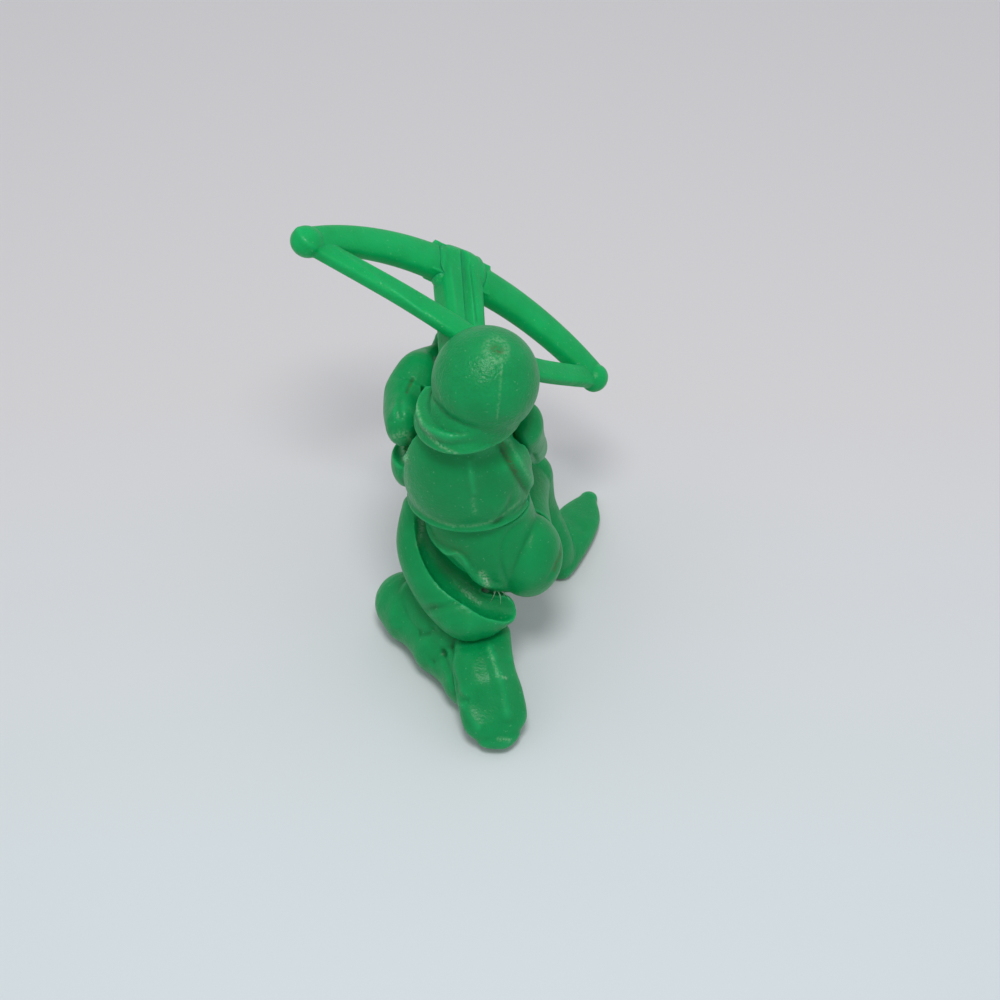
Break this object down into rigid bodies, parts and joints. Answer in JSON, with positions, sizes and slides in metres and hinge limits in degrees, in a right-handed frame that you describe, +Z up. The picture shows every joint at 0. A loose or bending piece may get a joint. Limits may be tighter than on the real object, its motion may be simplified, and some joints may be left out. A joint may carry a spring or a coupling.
{
  "type": "toy figure",
  "caption": "Small kneeling toy crossbowman of soft green moulded plastic, whose head, waist and arms turn on pegs and whose crossbow lifts out of the fist.",
  "frame": {"origin": "on the floor, under the middle of the figure's bounding box", "axes": "+Z up, +Y the way the figure faces and aims, +X to its right"},
  "size_m": [0.0316, 0.0401, 0.0425],
  "materials": {
    "figure_plastic": "satin",
    "crossbow_plastic": "satin"
  },
  "bodies": {
    "lower_body": {"hips": "figure_plastic", "left_leg": "figure_plastic", "right_leg": "figure_plastic"},
    "upper_body": {"torso": "figure_plastic"},
    "head": {"head": "figure_plastic", "helmet": "figure_plastic"},
    "left_arm": {"left_arm": "figure_plastic"},
    "right_arm": {"right_arm": "figure_plastic"},
    "crossbow": {"crossbow_stock": "crossbow_plastic", "crossbow_bow": "crossbow_plastic"}
  },
  "joints": [
    {"name": "waist_turn", "type": "hinge", "parent": "lower_body", "child": "upper_body", "pos_m": [0.00192, -0.00365, 0.0205], "axis": [0, 0, 1], "range_deg": [-40, 40]},
    {"name": "neck_turn", "type": "hinge", "parent": "upper_body", "child": "head", "pos_m": [0.00182, -0.0052, 0.03262], "axis": [0.2714, 0.1736, 0.9467], "range_deg": [-35, 35]},
    {"name": "right_shoulder", "type": "hinge", "parent": "upper_body", "child": "right_arm", "pos_m": [0.00132, -0.00225, 0.02932], "axis": [1, 0, 0], "range_deg": [-8, 8]},
    {"name": "left_shoulder", "type": "hinge", "parent": "upper_body", "child": "left_arm", "pos_m": [0.00132, -0.00225, 0.02932], "axis": [1, 0, 0], "range_deg": [-8, 8]},
    {"name": "crossbow_lift", "type": "slide", "parent": "right_arm", "child": "crossbow", "axis": [0.4856, 0.3204, 0.8133], "range_m": [0, 0.008]}
  ],
  "couplings": [
    {"joint": "left_shoulder", "follows": "right_shoulder", "ratio": 1}
  ]
}
